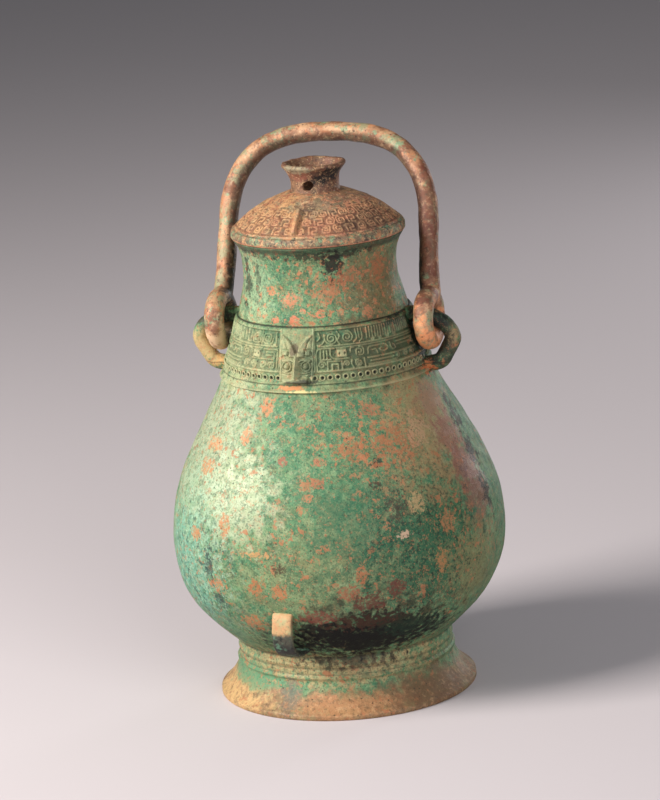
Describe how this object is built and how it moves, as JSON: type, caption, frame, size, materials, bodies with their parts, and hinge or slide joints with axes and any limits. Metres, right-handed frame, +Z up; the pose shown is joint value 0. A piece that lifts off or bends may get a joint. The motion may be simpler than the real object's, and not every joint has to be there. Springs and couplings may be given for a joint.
{
  "type": "lidded wine vessel with a swing handle",
  "caption": "Pear-shaped cast bronze wine vessel on a flared ring foot, with a masked frieze, two ears, a loose domed lid and a swing handle linked through the ears.",
  "frame": {"origin": "centre of the foot ring's underside, where the vessel stands", "axes": "+Z up the vessel's axis; -Y is the front, with the animal mask and the small loop; the ears and the handle's pivots are on the X axis"},
  "size_m": [0.2084, 0.2084, 0.3494],
  "materials": {
    "vessel_bronze": "mottled green and rust patina, matt",
    "lid_bronze": "tan and grey-green patina, matt",
    "handle_bronze": "brown patina, worn smooth"
  },
  "bodies": {
    "vessel": {"vessel": "vessel_bronze", "lid": "lid_bronze"},
    "handle": {"handle": "handle_bronze"}
  },
  "joints": [
    {"name": "handle_swing", "type": "hinge", "parent": "vessel", "child": "handle", "pos_m": [0, 0, 0.2362], "axis": [1, 0, 0], "range_deg": [-98, 154]}
  ]
}
